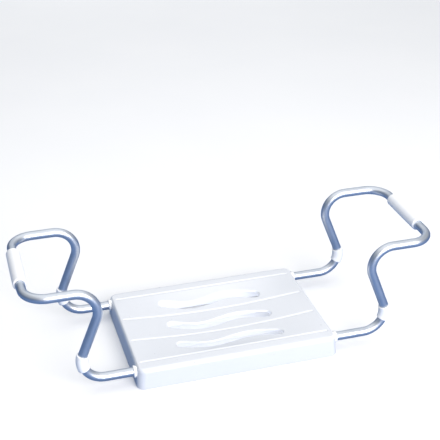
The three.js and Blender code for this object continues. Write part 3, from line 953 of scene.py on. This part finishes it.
# ---- Assembly ----
finishes = {
    "seat_plastic": seat_plastic(),
    "grip_plastic": grip_plastic(),
    "fitting_plastic": fitting_plastic(),
    "tube": tube_metal(),
    "screw": screw_steel(),
}


def place_piece(piece, body, slot, *nodes, degrees=32, weighted=True):
    """Finishes a piece in its slot's material, ties it to its body and hides the CAD nodes that it replaces.
    """
    soften(piece, degrees, weighted)
    piece.data.materials.clear()
    piece.data.materials.append(finishes[slot])
    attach(piece, body)
    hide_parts(*nodes)


place_piece(seat_shell(), "seat", "seat_plastic", "seat_shell", degrees=30)
for side_name, side in SIDES:
    hanger = f"{side_name}_hanger"
    place_piece(
        hanger_tube(side_name, side), hanger, "tube", f"{side_name}_hanger_tube", weighted=False,
    )
    place_piece(grip(side_name), hanger, "grip_plastic", f"{side_name}_grip_sleeve", weighted=False)
    for end_name, side_y in ENDS:
        leg = f"{side_name}_{end_name}"
        place_piece(
            bumper(side_name, side, end_name, side_y), hanger, "grip_plastic", f"{leg}_bumper",
            degrees=50, weighted=False,
        )
        place_piece(plug(side_name, side, end_name), hanger, "fitting_plastic", f"{leg}_end_plug")
        place_piece(bush(side_name, side, end_name), "seat", "grip_plastic", f"{leg}_entry_bush")
        place_piece(clamp(side_name, end_name), "seat", "fitting_plastic", f"{leg}_clamp")
for node in screw_nodes:
    place_piece(screw(node), "seat", "screw", node)


# ---- Floor, light and camera ----
def add_floor():
    half, z = FLOOR_HALF_SIZE, cad_low.z
    corners = [(-half, -half, z), (half, -half, z), (half, half, z), (-half, half, z)]
    mesh = bpy.data.meshes.new("floor")
    mesh.from_pydata(corners, [], [(0, 1, 2, 3)])
    floor = bpy.data.objects.new("floor", mesh)
    bpy.context.scene.collection.objects.link(floor)
    mesh.materials.append(floor_paint())


def add_softbox(name, place, target, size, power, colour):
    """A rectangular area light that faces its target."""
    light = bpy.data.lights.new(name, "AREA")
    light.shape = "RECTANGLE"
    light.size, light.size_y = size
    light.energy = power
    light.color = colour
    lamp = bpy.data.objects.new(name, light)
    lamp.location = place
    lamp.rotation_euler = (Vector(target) - Vector(place)).to_track_quat("-Z", "Y").to_euler()
    bpy.context.scene.collection.objects.link(lamp)


def add_world():
    """A pale sky that darkens to slate near the horizon, a little lighter towards +X."""
    world = bpy.data.worlds.new("studio")
    world.use_nodes = True
    nodes, links = world.node_tree.nodes, world.node_tree.links
    direction = nodes.new("ShaderNodeTexCoord").outputs["Generated"]
    split = nodes.new("ShaderNodeSeparateXYZ")
    links.new(direction, split.inputs["Vector"])
    tilt = nodes.new("ShaderNodeMath")
    tilt.operation = "MULTIPLY_ADD"
    links.new(split.outputs["X"], tilt.inputs[0])
    tilt.inputs[1].default_value = SKY_TILT
    links.new(split.outputs["Z"], tilt.inputs[2])
    colour = ramp(nodes, links, tilt.outputs["Value"], [
        (0.0, (0.11, 0.18, 0.31)), (0.15, (0.21, 0.30, 0.45)), (0.5, (0.84, 0.86, 0.89)),
    ])
    links.new(colour, nodes["Background"].inputs["Color"])
    nodes["Background"].inputs["Strength"].default_value = SKY_STRENGTH
    bpy.context.scene.world = world


def add_camera():
    """The camera at the photograph's viewing angle."""
    data = bpy.data.cameras.new("camera")
    data.lens = CAMERA_LENS
    data.sensor_width = CAMERA_SENSOR
    data.clip_end = CAMERA_REACH
    camera = bpy.data.objects.new("camera", data)
    camera.location = CAMERA_PLACE
    camera.rotation_euler = (math.radians(CAMERA_PITCH), 0.0, math.radians(CAMERA_YAW))
    bpy.context.scene.collection.objects.link(camera)
    bpy.context.scene.camera = camera


add_floor()
add_world()
add_softbox(
    "overhead", place=(0.1, 0.3, 1.7), target=(0.1, 0.3, 0.0),
    size=(2.3, 2.6), power=11.5, colour=COOL_WHITE,
)
add_softbox(
    "key", place=(0.9, -3.4, 1.6), target=(0.0, 0.0, 0.1),
    size=(3.0, 2.9), power=174.0, colour=KEY_WHITE,
)
# Brightens the floor behind the bench.
add_softbox(
    "wash", place=(1.2, 4.4, 1.7), target=(1.2, 4.4, 0.0),
    size=(5.0, 2.4), power=36.0, colour=COOL_WHITE,
)
# Lies just above the floor and lights the drain slots from below.
add_softbox(
    "under_fill", place=(0.0, 0.0, 0.003), target=(0.0, 0.0, 1.0),
    size=(0.37, 0.26), power=0.40, colour=WARM_WHITE,
)
add_camera()
bpy.context.scene.view_settings.view_transform = "Standard"
